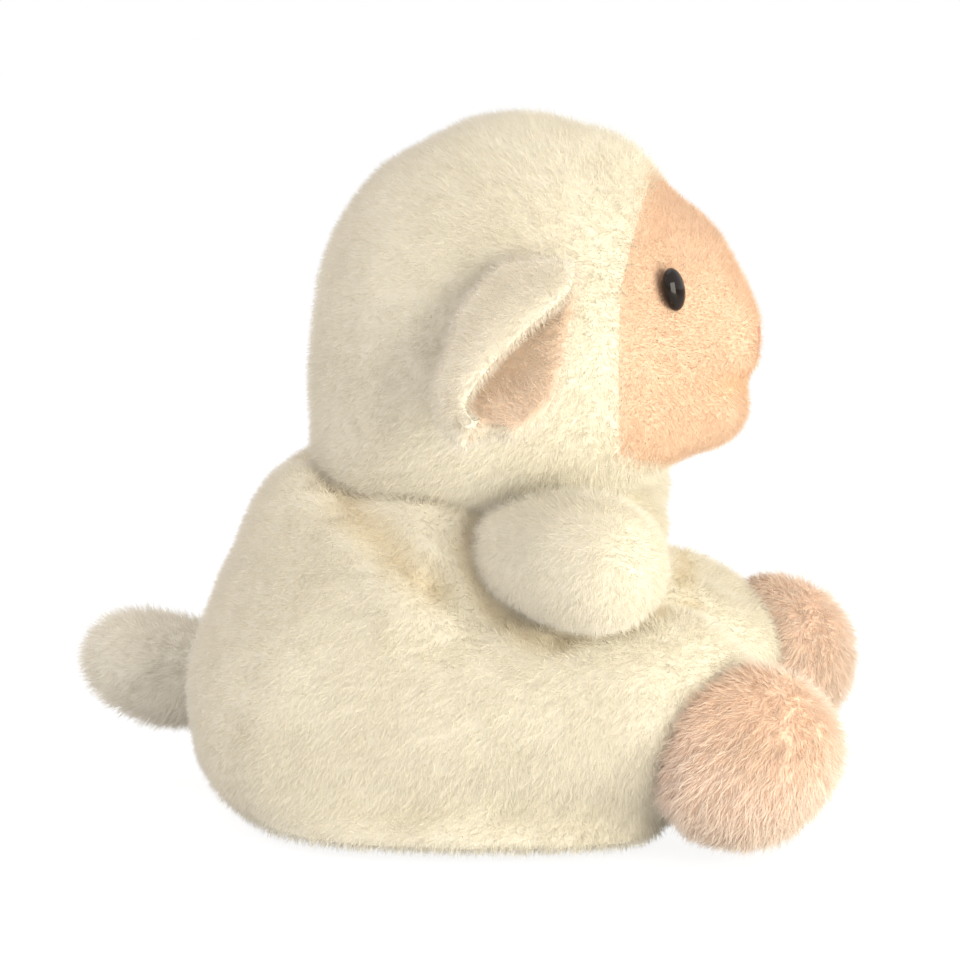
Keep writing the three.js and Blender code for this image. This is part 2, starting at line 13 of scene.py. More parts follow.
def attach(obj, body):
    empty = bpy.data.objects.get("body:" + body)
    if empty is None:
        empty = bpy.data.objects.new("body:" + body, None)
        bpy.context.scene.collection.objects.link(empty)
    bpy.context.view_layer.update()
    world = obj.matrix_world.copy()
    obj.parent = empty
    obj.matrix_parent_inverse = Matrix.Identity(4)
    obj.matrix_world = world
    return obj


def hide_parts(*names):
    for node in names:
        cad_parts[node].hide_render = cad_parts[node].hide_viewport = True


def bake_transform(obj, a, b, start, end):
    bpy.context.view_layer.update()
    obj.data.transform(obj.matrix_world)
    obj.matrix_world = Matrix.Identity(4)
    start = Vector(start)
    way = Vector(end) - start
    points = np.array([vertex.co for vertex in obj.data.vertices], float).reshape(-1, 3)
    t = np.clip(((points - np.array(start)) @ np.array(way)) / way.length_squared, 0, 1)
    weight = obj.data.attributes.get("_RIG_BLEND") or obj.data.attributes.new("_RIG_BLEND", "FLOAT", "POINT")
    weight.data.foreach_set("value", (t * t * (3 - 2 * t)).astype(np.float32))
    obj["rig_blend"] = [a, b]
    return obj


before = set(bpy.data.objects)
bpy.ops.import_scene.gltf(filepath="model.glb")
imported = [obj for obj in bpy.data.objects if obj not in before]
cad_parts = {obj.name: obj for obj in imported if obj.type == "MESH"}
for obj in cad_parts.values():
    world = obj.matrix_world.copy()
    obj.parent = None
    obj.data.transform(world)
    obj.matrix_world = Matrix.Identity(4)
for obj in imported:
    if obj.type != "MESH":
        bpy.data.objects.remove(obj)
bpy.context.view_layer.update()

bl_info = {
    "name": "Plush Sheep",
    "version": (1, 0, 0),
    "blender": (4, 5, 0),
    "location": "3D View > Sidebar > Plush Sheep",
    "description": "Padded skins, pile, eyes and studio for a sitting plush sheep",
    "category": "Add Mesh",
}

MM = 0.001
WELD = 0.001 * MM
SENSOR = 36.0
SIDES = {"left": 1, "right": -1}

# How far each skin is drawn in, which leaves room for its pile
BODY_INSET, HEAD_INSET, ARM_INSET, FOOT_INSET, TAIL_INSET = 1.6 * MM, 1.3 * MM, 1.0 * MM, 1.3 * MM, 1.3 * MM


def at(x, forward, z):
    """A place written in millimetres as left, forward and up."""
    return Vector((x, -forward, z)) * MM


def on_side(sign, rows):
    """Places written as rows for the left, on that side or mirrored to the right."""
    return [at(sign * x, forward, z) for x, forward, z in rows]


# Sizes and colours that a user would change

class SheepPile(bpy.types.PropertyGroup):
    """Lengths, widths and densities of the cloths' pile."""

    cream_length: FloatProperty(
        name="Cream pile", description="Length of the cream pile", default=2.1 * MM, unit="LENGTH")
    face_length: FloatProperty(
        name="Face pile", description="Length of the peach pile on the face", default=1.5 * MM,
        unit="LENGTH")
    foot_length: FloatProperty(
        name="Foot pile", description="Length of the peach pile on the feet", default=3.0 * MM,
        unit="LENGTH")
    ear_length: FloatProperty(
        name="Ear pile", description="Length of the pile on the ears", default=2.2 * MM, unit="LENGTH")
    tail_length: FloatProperty(
        name="Tail pile", description="Length of the pile on the tail", default=3.4 * MM, unit="LENGTH")
    width: FloatProperty(
        name="Strand width", description="Width of a strand at its root", default=0.13 * MM, unit="LENGTH")
    density: FloatProperty(
        name="Density", description="Strands on a square millimetre", default=6.0, min=0.0)
    lean: FloatProperty(
        name="Lean", description="Angle of the pile from the cloth's normal", default=math.radians(30),
        subtype="ANGLE", unit="ROTATION")


class SheepColours(bpy.types.PropertyGroup):
    """Colours of the cloths, the eyes and the thread, and the painted shade near the pile's roots."""

    cream: FloatVectorProperty(
        name="Cream", description="Cream pile", subtype="COLOR", default=(0.97, 0.938, 0.855))
    # Painted shade: the cream pile is darker and warmer near its roots
    cream_root_shade: FloatVectorProperty(
        name="Cream root shade", description="Cream pile near its roots", subtype="COLOR",
        default=(0.96, 0.915, 0.78))
    peach: FloatVectorProperty(
        name="Peach", description="Peach pile", subtype="COLOR", default=(0.89, 0.70, 0.555))
    # Painted shade: the peach pile is darker near its roots
    peach_root_shade: FloatVectorProperty(
        name="Peach root shade", description="Peach pile near its roots", subtype="COLOR",
        default=(0.89, 0.66, 0.49))
    foot: FloatVectorProperty(
        name="Foot", description="Pile on the feet", subtype="COLOR", default=(0.98, 0.88, 0.79))
    # Painted shade: the foot pile is darker and more saturated near its roots than at its pale tips
    foot_root_shade: FloatVectorProperty(
        name="Foot root shade", description="Foot pile near its roots", subtype="COLOR",
        default=(0.96, 0.71, 0.56))
    eye: FloatVectorProperty(
        name="Eye", description="Eye plastic", subtype="COLOR", default=(0.010, 0.006, 0.005))
    thread: FloatVectorProperty(
        name="Thread", description="Stitched nose and mouth", subtype="COLOR", default=(0.69, 0.34, 0.26))


class SheepStage(bpy.types.PropertyGroup):
    """Camera and studio."""

    distance: FloatProperty(
        name="Distance", description="From the camera to its target", default=554 * MM, unit="LENGTH")
    elevation: FloatProperty(
        name="Elevation", description="Height of the camera over its target", default=math.radians(10),
        subtype="ANGLE", unit="ROTATION")
    ahead: FloatProperty(
        name="Ahead", description="Turn of the camera forward of the sheep's right side",
        default=math.radians(8.5), subtype="ANGLE", unit="ROTATION")
    lens: FloatProperty(
        name="Lens", description="Focal length on a 36 mm sensor", default=113.9, min=1.0)


# Meshes as arrays

def triples(items, key):
    found = np.empty(len(items) * 3)
    items.foreach_get(key, found)
    return found.reshape(-1, 3)


def corners(mesh):
    return triples(mesh.vertices, "co")


def normals(mesh):
    return triples(mesh.vertex_normals, "vector")


def put(mesh, places):
    mesh.vertices.foreach_set("co", places.ravel())
    mesh.update()


def write_layer(mesh, name, values):
    """Gives each vertex a value or a direction."""
    kind, key = ("FLOAT", "value") if values.ndim == 1 else ("FLOAT_VECTOR", "vector")
    layer = mesh.attributes.get(name) or mesh.attributes.new(name, kind, "POINT")
    layer.data.foreach_set(key, values.astype(np.float32).ravel())


def unit(vectors):
    return vectors / np.maximum(np.linalg.norm(vectors, axis=1, keepdims=True), 1e-12)


def fade(distance, reach):
    """1 at no distance, easing to 0 at the reach."""
    share = np.clip(1 - distance / reach, 0, 1)
    return share * share * (3 - 2 * share)


def off_line(places, points):
    """Distance from each place to a line through points."""
    best = np.full(len(places), np.inf)
    for a, b in zip(points, points[1:]):
        a, step = np.array(a), np.array(b) - np.array(a)
        share = np.clip((places - a) @ step / (step @ step), 0, 1)
        best = np.minimum(best, np.linalg.norm(places - a - share[:, None] * step, axis=1))
    return best


# Objects

def show(name, data):
    obj = bpy.data.objects.new(name, data)
    bpy.context.scene.collection.objects.link(obj)
    return obj


def new_object(name, bm):
    mesh = bpy.data.meshes.new(name)
    bm.to_mesh(mesh)
    bm.free()
    return show(name, mesh)


@contextmanager
def editing(obj):
    """The object's mesh as a bmesh, written back at the end."""
    bm = bmesh.new()
    bm.from_mesh(obj.data)
    yield bm
    bm.to_mesh(obj.data)
    bm.free()
    obj.data.update()


def settle(obj):
    """Applies the object's modifiers."""
    bpy.context.view_layer.update()
    graph = bpy.context.evaluated_depsgraph_get()
    done = bpy.data.meshes.new_from_object(obj.evaluated_get(graph))
    old = obj.data
    obj.modifiers.clear()
    obj.data = done
    bpy.data.meshes.remove(old)
    done.name = obj.name


def copy_of(obj, name):
    twin = obj.copy()
    twin.data = obj.data.copy()
    twin.name = twin.data.name = name
    bpy.context.scene.collection.objects.link(twin)
    return twin


def drop(obj):
    bpy.data.objects.remove(obj)


def tree_of(obj):
    """An object's surface, to find places on it."""
    return BVHTree.FromObject(obj, bpy.context.evaluated_depsgraph_get())


# Padded skins

def keep_outer(bm):
    """Deletes every island but the largest, such as the gaps inside."""
    left = set(bm.verts)
    islands = []
    while left:
        front = [left.pop()]
        island = list(front)
        while front:
            for edge in front.pop().link_edges:
                for vert in edge.verts:
                    if vert in left:
                        left.remove(vert)
                        front.append(vert)
                        island.append(vert)
        islands.append(island)
    islands.sort(key=len)
    bmesh.ops.delete(bm, geom=[v for island in islands[:-1] for v in island], context="VERTS")


def smooth(bm, times, factor=0.5):
    for _ in range(times):
        bmesh.ops.smooth_vert(
            bm, verts=bm.verts, factor=factor, use_axis_x=True, use_axis_y=True, use_axis_z=True)


def padded_skin(name, nodes, voxel, times, fillers=()):
    """One closed skin round CAD nodes and filler forms."""
    bm = bmesh.new()
    for node in nodes:
        bm.from_mesh(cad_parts[node].data)
    bmesh.ops.remove_doubles(bm, verts=bm.verts, dist=WELD)
    for filler in fillers:
        filler(bm)
    obj = new_object(name, bm)
    remesh = obj.modifiers.new("Voxels", "REMESH")
    remesh.mode = "VOXEL"
    remesh.voxel_size = voxel
    settle(obj)
    with editing(obj) as bm:
        keep_outer(bm)
        smooth(bm, times)
    return obj


def hull(bm, places):
    """A convex hull round places, as a form inside a skin."""
    made = bmesh.ops.convex_hull(bm, input=[bm.verts.new(place) for place in places])
    spare = {vert for key in ("geom_interior", "geom_unused") for vert in made[key]
             if isinstance(vert, bmesh.types.BMVert)}
    bmesh.ops.delete(bm, geom=list(spare), context="VERTS")


def swell(obj, lift):
    """Moves a skin along its normals by one lift, or by one for each vertex."""
    mesh = obj.data
    put(mesh, corners(mesh) + normals(mesh) * np.reshape(lift, (-1, 1)))


def puffs(obj, rows, sign=1):
    """Rounds or dents a skin, with rows of left, forward, up, reach and lift in millimetres."""
    for x, forward, z, reach, lift in rows:
        centre = np.array(at(sign * x, forward, z))
        away = np.linalg.norm(corners(obj.data) - centre, axis=1)
        swell(obj, fade(away, reach * MM) * (lift * MM))


def fold(obj, points, width, depth):
    """Presses a skin in along a line, and marks how near the line each vertex is, a mark that the pile's
    material paints warmer and darker.
    """
    mesh = obj.data
    near = fade(off_line(corners(mesh), points), width)
    swell(obj, -depth * near)
    marked = np.zeros(len(near), dtype=np.float32)
    if "crease" in mesh.attributes:
        mesh.attributes["crease"].data.foreach_get("value", marked)
    write_layer(mesh, "crease", np.maximum(marked, near))


HOLD_LEVELS, INFLATE_STEPS = 8, 20


def inflate(obj, seams, pressure, cap):
    """Cloth under pressure, held at its seams, with no point moved further than the cap."""
    mesh = obj.data
    rest = corners(mesh)
    held = obj.vertex_groups.new(name="Seams")
    share = np.round(np.clip(seams(rest), 0, 1) * HOLD_LEVELS).astype(int)
    for level in range(1, HOLD_LEVELS + 1):
        held.add(np.flatnonzero(share == level).tolist(), level / HOLD_LEVELS, "REPLACE")
    cloth = obj.modifiers.new("Padding", "CLOTH")
    cloth.settings.quality = 4
    cloth.settings.use_pressure = True
    cloth.settings.uniform_pressure_force = pressure
    cloth.settings.effector_weights.gravity = 0
    cloth.settings.vertex_group_mass = held.name
    cloth.point_cache.frame_start, cloth.point_cache.frame_end = 1, INFLATE_STEPS
    for step in range(1, INFLATE_STEPS + 1):
        bpy.context.scene.frame_set(step)
    graph = bpy.context.evaluated_depsgraph_get()
    swollen = corners(obj.evaluated_get(graph).data)
    obj.modifiers.clear()
    obj.vertex_groups.clear()
    bpy.context.scene.frame_set(1)
    move = swollen - rest
    far = np.linalg.norm(move, axis=1, keepdims=True)
    put(mesh, rest + move * np.minimum(1, cap / np.maximum(far, 1e-9)))


def subdivide(obj, levels=1):
    finer = obj.modifiers.new("Finer", "SUBSURF")
    finer.levels = finer.render_levels = levels
    settle(obj)


def divide(obj, planes):
    """Puts edges where planes, each a place and a direction, cross a skin."""
    with editing(obj) as bm:
        for place, direction in planes:
            bmesh.ops.bisect_plane(
                bm, geom=bm.verts[:] + bm.edges[:] + bm.faces[:], dist=WELD, plane_co=place,
                plane_no=direction)


def part_of(obj, name, belongs):
    """A new skin from those faces of another whose middle belongs to it."""
    piece = copy_of(obj, name)
    with editing(piece) as bm:
        others = [face for face in bm.faces if not belongs(face.calc_center_median())]
        bmesh.ops.delete(bm, geom=others, context="FACES")
    return piece


def close(obj):
    """Fills the open rim that a cut left."""
    with editing(obj) as bm:
        rim = [edge for edge in bm.edges if edge.is_boundary]
        if rim:
            filled = bmesh.ops.holes_fill(bm, edges=rim, sides=0)["faces"]
            bmesh.ops.triangulate(bm, faces=filled)


# Nodes of materials and of the pile

def set_inputs(node, values):
    """Sets a node's inputs, each to a value, an output, or another node's first output."""
    for name, value in values.items():
        if isinstance(value, bpy.types.Node):
            value = value.outputs[0]
        if isinstance(value, bpy.types.NodeSocket):
            node.id_data.links.new(value, node.inputs[name])
        else:
            node.inputs[name].default_value = value


def add_node(nodes, kind, inputs=None, **settings):
    node = nodes.new(kind)
    for name, value in settings.items():
        setattr(node, name, value)
    set_inputs(node, inputs or {})
    return node


def mixed(add, factor, first, second, **settings):
    """A mix of two colours."""
    inputs = {"Factor": factor, "A": first, "B": second}
    return add("ShaderNodeMix", inputs, data_type="RGBA", **settings).outputs["Result"]


# Pile: strands grown from a skin

def on_cloth(vectors, outward):
    """What is left of vectors along the cloth."""
    return vectors - outward * np.sum(vectors * outward, axis=1, keepdims=True)


# Without a seed of its own, the ripple in the pile's direction would differ at each run
RIPPLE_SEED = 1


def comb(obj, lean, flow, wave, clump):
    """Gives each vertex of a skin the direction of its pile, from a flow, or else away from the nose."""
    mesh = obj.data
    places, outward = corners(mesh), normals(mesh)
    flows = np.tile(flow, (len(places), 1)) if flow else places - np.array(NOSE)
    noise.seed_set(RIPPLE_SEED)
    ripple = np.array([noise.noise_vector(Vector(place) / clump) for place in places])
    along = on_cloth(unit(on_cloth(flows, outward)) + ripple * wave, outward)
    heading = unit(outward * math.cos(lean) + along * math.sin(lean))
    write_layer(mesh, "comb", heading)


SHORTEST, LONGEST, STRAND_MAP = 0.65, 1.15, 0.002


def strand_group(width, length, density, scatter, seed):
    """Geometry nodes that grow closed three-sided strands along the comb."""
    group = bpy.data.node_groups.new("Strands", "GeometryNodeTree")
    for way in ("INPUT", "OUTPUT"):
        group.interface.new_socket("Geometry", in_out=way, socket_type="NodeSocketGeometry")
    add = partial(add_node, group.nodes)

    def store(name, kind, domain, geometry, value):
        inputs = {"Name": name, "Geometry": geometry, "Value": value}
        return add("GeometryNodeStoreNamedAttribute", inputs, data_type=kind, domain=domain)

    def named(name, kind="FLOAT_VECTOR"):
        return add("GeometryNodeInputNamedAttribute", {"Name": name}, data_type=kind).outputs["Attribute"]

    def between(kind, low, high, number):
        first, result = {"FLOAT_VECTOR": (0, 0), "FLOAT": (2, 1)}[kind]
        inputs = {first: low, first + 1: high, "Seed": number}
        return add("FunctionNodeRandomValue", inputs, data_type=kind).outputs[result]

    thick = add("ShaderNodeMath", {0: named("cover", "FLOAT"), 1: density / MM ** 2}, operation="MULTIPLY")
    spread = add("GeometryNodeDistributePointsOnFaces",
                 {"Mesh": add("NodeGroupInput"), "Density": thick, "Seed": seed})
    roots = store("root_map", "FLOAT_VECTOR", "POINT", spread, named("OFBake"))

    cone = add("GeometryNodeMeshCone", {"Vertices": 3, "Side Segments": 1, "Radius Top": 0.0,
                                        "Radius Bottom": 0.5, "Depth": 1.0}, fill_type="NGON")
    rise = add("ShaderNodeSeparateXYZ", {0: add("GeometryNodeInputPosition")})
    strand = store("tip", "FLOAT", "POINT", cone, rise.outputs["Z"])
    strand = store("strand_map", "FLOAT_VECTOR", "CORNER", strand, cone.outputs["UV Map"])

    nudge = between("FLOAT_VECTOR", (-scatter,) * 3, (scatter,) * 3, seed + 1)
    heading = add("ShaderNodeVectorMath", {0: named("comb"), 1: nudge}, operation="ADD")
    stand = add("FunctionNodeAlignRotationToVector", {"Vector": heading}, axis="Z")
    turn = between("FLOAT_VECTOR", (0, 0, 0), (0, 0, 2 * math.pi), seed + 2)
    twist = add("FunctionNodeRotateRotation", {0: stand, 1: turn}, rotation_space="LOCAL")

    full = between("FLOAT", SHORTEST * length, LONGEST * length, seed + 3)
    reach = add("ShaderNodeMath", {0: named("reach", "FLOAT"), 1: full}, operation="MULTIPLY")
    size = add("ShaderNodeCombineXYZ", {"X": width, "Y": width, "Z": reach})
    plant = add("GeometryNodeInstanceOnPoints",
                {"Points": roots, "Instance": strand, "Rotation": twist, "Scale": size})
    real = add("GeometryNodeRealizeInstances", {0: plant})

    small = add("ShaderNodeVectorMath", {0: named("strand_map"), "Scale": STRAND_MAP}, operation="SCALE")
    total = add("ShaderNodeVectorMath", {0: named("root_map"), 1: small}, operation="ADD")
    add("NodeGroupOutput", {0: store("OFBake", "FLOAT2", "CORNER", real, total)})
    return group


def grow(skin, name, length, scatter=0.4, seed=1, share=1.0, width=1.0):
    """A piece of pile on a skin that has a comb, a cover and a reach."""
    pile = bpy.context.scene.sheep_pile
    obj = copy_of(skin, name)
    strands = obj.modifiers.new("Strands", "NODES")
    strands.node_group = strand_group(pile.width * width, length, pile.density * share, scatter, seed)
    settle(obj)
    for spare in ("comb", "cover", "reach", "root_map", "strand_map", "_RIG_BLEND"):
        found = obj.data.attributes.get(spare)
        if found:
            obj.data.attributes.remove(found)
    return obj


def lay_map(obj):
    """A UV map that spreads the skin out, which its pile shares."""
    bpy.ops.object.select_all(action="DESELECT")
    obj.select_set(True)
    bpy.context.view_layer.objects.active = obj
    for old in list(obj.data.uv_layers):
        obj.data.uv_layers.remove(old)
    obj.data.uv_layers.active = obj.data.uv_layers.new(name="OFBake")
    bpy.ops.object.mode_set(mode="EDIT")
    bpy.ops.mesh.select_all(action="SELECT")
    bpy.ops.uv.smart_project(angle_limit=1.15, island_margin=0.004, scale_to_bounds=True)
    bpy.ops.object.mode_set(mode="OBJECT")


# How deep a skin is looked for, how deep pile still grows, and over what depth it ends
SEARCH, BURY, BURY_BLUR = 12 * MM, 2.5 * MM, 0.5 * MM

# Pile is shortest at the height of the seat and full from the other height up
SEAT_HEIGHTS, SEAT_SHARES = (0.5 * MM, 3 * MM), (0.25, 1)

# Pile is thinner within this distance of the stitching
STITCH_CLEAR, STITCH_THINNING = 1.0 * MM, 0.6


def depth_in(mesh, skins):
    """How far each vertex lies inside the deepest of other skins."""
    deepest = np.zeros(len(mesh.vertices))
    for skin in skins:
        tree = tree_of(skin)
        for i, vert in enumerate(mesh.vertices):
            spot, outward, _, far = tree.find_nearest(vert.co, SEARCH)
            if spot is None or (vert.co - spot).dot(outward) > 0:
                continue
            _, wall, _, _ = tree.ray_cast(vert.co, vert.normal)
            if wall is not None and wall.dot(vert.normal) > 0:
                deepest[i] = max(deepest[i], far)
    return deepest


def cover_skin(skin, hidden_by):
    """Marks where pile grows, and how long it is: it lies pressed flat under the toy."""
    mesh = skin.data
    places = corners(mesh)
    shows = np.clip((BURY - depth_in(mesh, hidden_by)) / BURY_BLUR, 0, 1)
    if skin.name.startswith(("face", "head")):
        past = np.array([past_seam(Vector(place)) for place in places])
        side = 1 if skin.name == "face_field" else -1
        shows = shows * np.clip(0.5 + side * past / (2 * SEAM_BLUR), 0, 1)
    for line in stitch_lines() if skin.name == "face_field" else ():
        shows *= 1 - STITCH_THINNING * fade(off_line(places, line), STITCH_CLEAR)
    write_layer(mesh, "cover", shows)
    write_layer(mesh, "reach", np.interp(places[:, 2], SEAT_HEIGHTS, SEAT_SHARES))


# Materials

def new_material(name):
    """A material, a way to add nodes to it, and its shader."""
    made = bpy.data.materials.new(name)
    made.use_nodes = True
    nodes = made.node_tree.nodes
    return made, partial(add_node, nodes), nodes["Principled BSDF"]


def pile_material(name, colour, root_shade, blotch, painted_warmth_tint=(0.99, 0.90, 0.73)):
    """Pile with painted shade at its roots, so lighter at its tips, painted warmer and darker where a fold
    or the instep is marked, and a little uneven over the cloth.
    """
    _, add, shader = new_material(name)
    # Painted shade: the root colour at the roots, easing to the pile's colour at the tips
    tip = add("ShaderNodeAttribute", attribute_name="tip").outputs["Fac"]
    ramp = add("ShaderNodeMapRange", {"Value": tip, "From Min": -0.3, "From Max": 0.7})
    plain = mixed(add, ramp, (*root_shade, 1), (*colour, 1))
    # Painted warmth: warmer and darker along marked folds as painted shade, and on the marked instep as
    # painted warm light
    crease = add("ShaderNodeAttribute", attribute_name="crease").outputs["Fac"]
    depth = add("ShaderNodeMath", {0: crease, 1: 0.5}, operation="MULTIPLY")
    warm = mixed(add, depth, plain, (*(share * value for share, value in zip(painted_warmth_tint, colour)), 1))
    place = add("ShaderNodeTexCoord").outputs["Object"]
    patches = add("ShaderNodeTexNoise", {"Vector": place, "Scale": blotch, "Detail": 3.0})
    shade = add("ShaderNodeValToRGB", {"Fac": patches.outputs["Fac"]})
    low, high = shade.color_ramp.elements
    low.position, low.color = 0.3, (0.93, 0.92, 0.90, 1)
    high.position, high.color = 0.7, (1, 1, 1, 1)
    tint = mixed(add, 1.0, warm, shade, blend_type="MULTIPLY")
    set_inputs(shader, {"Base Color": tint, "Roughness": 0.95, "Specular IOR Level": 0.25,
                        "Sheen Weight": 0.2, "Sheen Roughness": 0.45})


def plastic_material(name, colour, roughness, specular=0.5):
    _, add, shader = new_material(name)
    place = add("ShaderNodeTexCoord").outputs["Object"]
    cloud = add("ShaderNodeTexNoise", {"Vector": place, "Scale": 400.0}).outputs["Fac"]
    paler = (*(1.6 * value for value in colour), 1)
    set_inputs(shader, {"Base Color": mixed(add, cloud, (*colour, 1), paler), "Roughness": roughness,
                        "Specular IOR Level": specular})


def weave_material(name, colour, scale, relief):
    """Cloth or fibre with crossing threads."""
    _, add, shader = new_material(name)
    place = add("ShaderNodeTexCoord").outputs["Object"]
    threads = add("ShaderNodeTexWave", {"Vector": place, "Scale": scale, "Distortion": 2.0}).outputs["Fac"]
    darker = (*(0.8 * value for value in colour), 1)
    bump = add("ShaderNodeBump", {"Height": threads, "Strength": relief, "Distance": 0.1 * MM})
    set_inputs(shader, {"Base Color": mixed(add, threads, darker, (*colour, 1)), "Normal": bump,
                        "Roughness": 0.9})


def finishes():
    """The object's materials, made once."""
    colours = bpy.context.scene.sheep_colours
    if "Cream pile" not in bpy.data.materials:
        # Every pile gets painted shade at its roots and painted warmth where its skin is marked
        pile_material("Cream pile", colours.cream, colours.cream_root_shade, 45.0)
        pile_material("Peach pile", colours.peach, colours.peach_root_shade, 90.0)
        # Foot pile: painted shade at its roots, and a tint that paints warm light on the instep
        pile_material("Foot pile", colours.foot, colours.foot_root_shade, 90.0, (0.98, 0.84, 0.72))
        # The lining's peach, painted paler and lighter than the face's as painted light in the ear's cup
        pile_material("Lining pile", (1.0, 0.88, 0.75), (0.97, 0.78, 0.63), 90.0)
        # The ear's outer cream, painted greyer and cooler than the head's as painted shade
        pile_material("Ear pile", (0.91, 0.86, 0.79), colours.cream_root_shade, 45.0)
        # The tail's cream, painted lighter than the body's as painted light
        pile_material("Tail pile", (1.0, 0.965, 0.88), colours.cream, 45.0)
        plastic_material("Eye plastic", colours.eye, 0.05, 0.3)
        plastic_material("Washer plastic", (0.5, 0.5, 0.48), 0.5)
        weave_material("Stitch thread", colours.thread, 900.0, 0.6)
        weave_material("Fibre filling", (0.9, 0.9, 0.87), 160.0, 0.8)
        weave_material("Pouch cloth", (0.79, 0.74, 0.66), 500.0, 0.5)
    return bpy.data.materials


def finish_with(obj, name):
    obj.data.materials.clear()
    obj.data.materials.append(finishes()[name])


# Ways in which the pile lies: down, back over the crown, back from the tail's root, and off the toe
DOWN, OVER_CROWN, BACKWARDS, OFF_TOE = (0, 0.15, -1.0), (0, 0.75, -0.65), (0, 1.0, -0.35), (0, 0.5, -0.9)
NOSE = at(0, 62, 88)


# Places that the photograph shows, in pixels of its frame of 960 by 960

PHOTO = 960
CAPE_FOLD_PX = [(322, 462), (345, 500), (380, 535), (400, 560), (432, 588)]
ARMPIT_FOLD_PX = [(480, 520), (466, 552), (478, 588), (500, 618), (530, 636), (565, 640)]
LAP_FOLD_PX = [(565, 640), (625, 624), (660, 612), (690, 606)]


def camera_line():
    """The camera's target and the way from it to the camera."""
    stage = bpy.context.scene.sheep_stage
    away = Vector((-math.cos(stage.ahead), -math.sin(stage.ahead), 0)) * math.cos(stage.elevation)
    away.z = math.sin(stage.elevation)
    return at(0, 8, 59), away


def seen_at(skin, pixels):
    """Places on a skin under some pixels of the photograph."""
    stage = bpy.context.scene.sheep_stage
    target, away = camera_line()
    right = Vector((0, 0, 1)).cross(away).normalized()
    up = away.cross(right)
    tree = tree_of(skin)
    eye = target + away * stage.distance
    places = []
    for x, y in pixels:
        across = (x / PHOTO - 0.5) * SENSOR / stage.lens
        along = (0.5 - y / PHOTO) * SENSOR / stage.lens
        place = tree.ray_cast(eye, (right * across + up * along - away).normalized())[0]
        if place:
            places.append(place)
    return places


# Operators, one for each piece or group of like pieces

class SheepPiece:
    """What every piece's operator shares."""

    bl_options = {"REGISTER", "UNDO"}


class SHEEP_OT_body(SheepPiece, bpy.types.Operator):
    """Make the body with its legs as one padded skin in two halves."""

    bl_idname = "sheep.body"
    bl_label = "Body and legs"

    def execute(self, context):
        nodes = ["base_panel", "belly_panel", "body_side_left", "body_side_right", "bean_pouch",
                 "body_stuffing", "neck_stuffing"]
        for side in SIDES:
            nodes += [f"leg_top_{side}", f"leg_under_{side}", f"leg_stuffing_{side}"]
        skin = padded_skin("body_skin", nodes, voxel=1.5 * MM, times=14, fillers=[collar, flanks, seat])
        inflate(skin, body_seams, pressure=3.0, cap=1.5 * MM)
        swell(skin, -BODY_INSET)
        self.narrow_base(skin)
        # Each fold is pressed in on both sides and marked for painted shade
        for pixels, width, depth in BODY_FOLDS:
            line = seen_at(skin, pixels)
            fold(skin, line, width, depth)
            fold(skin, [Vector((-x, y, z)) for x, y, z in line], width, depth)
        for sign in SIDES.values():
            puffs(skin, BODY_PUFFS_OF_A_SIDE, sign)
        puffs(skin, BODY_PUFFS)
        subdivide(skin)
        with editing(skin) as bm:
            smooth(bm, 3)
        divide(skin, [MIDDLE])
        for side, sign in SIDES.items():
            part_of(skin, f"body_{side}", lambda place: place.x * sign > 0)
        return {"FINISHED"}

    def narrow_base(self, skin):
        """Draws the base's edge in towards the tail, where it is pear shaped."""
        floor, top, corner, spread, start = 4 * MM, 28 * MM, 20 * MM, 11 * MM, 25 * MM
        everywhere, at_corner = 0.01, 0.13
        places = corners(skin.data)
        low = fade(np.maximum(places[:, 2] - floor, 0), top)
        side = np.exp(-((np.abs(places[:, 0]) - corner) / spread) ** 2)
        behind = np.clip(places[:, 1] / start, 0, 1)
        places[:, 1] *= 1 - (everywhere + at_corner * side) * low * behind
        put(skin.data, places)


# Folds of the body, each with its line, width and depth; along each the pile is painted warmer and darker as
# painted shade

BODY_FOLDS = [
    (CAPE_FOLD_PX, 6 * MM, 1.9 * MM),
    (ARMPIT_FOLD_PX, 4.5 * MM, 0.6 * MM),
    (LAP_FOLD_PX, 4 * MM, 0.9 * MM),
]

# Puffs and dents of the padding in millimetres: left, forward, up, reach and lift

BODY_PUFFS_OF_A_SIDE = [
    (18, -28, 62, 20, 2.8),  # shoulder blade
    (40, 0, 48, 12, 1.5),  # flank behind the arm
    (38, 16, 48, 15, 3.3),  # armpit
    (14, 32, 54, 17, 1.6),  # breast
]
BODY_PUFFS = [
    (0, 35, 54, 24, 4.4),  # chest
    (0, -33, 60, 16, 1.6),  # nape
    (-22, 64, 38, 18, -1.5),  # end of the right leg
    (26, 58, 40, 20, -5.0),  # end of the left leg
    (26, 46, 47, 12, -1.6),  # left knee
    (26, 50, 43, 15, -2.4),  # left shin
    (-44, 0, 74, 14, 1.0),  # right shoulder
]


def collar(bm):
    """A frustum that fills the hollow under the head."""
    low, high = at(0, -4, 40), at(0, 5, 62.5)
    wide, narrow = 38 * MM, 30 * MM
    made = bmesh.ops.create_cone(
        bm, cap_ends=True, segments=32, radius1=wide, radius2=narrow, depth=high.z - low.z)
    for vert in made["verts"]:
        share = vert.co.z / (high.z - low.z) + 0.5
        vert.co.y += low.lerp(high, share).y
        vert.co.z = low.z + share * (high.z - low.z)


# The part of the body's side that a flank carries on: from a height to a height, and ahead of a place
FLANK_LOW, FLANK_HIGH, FLANK_BACK = 3 * MM, 38 * MM, 25 * MM


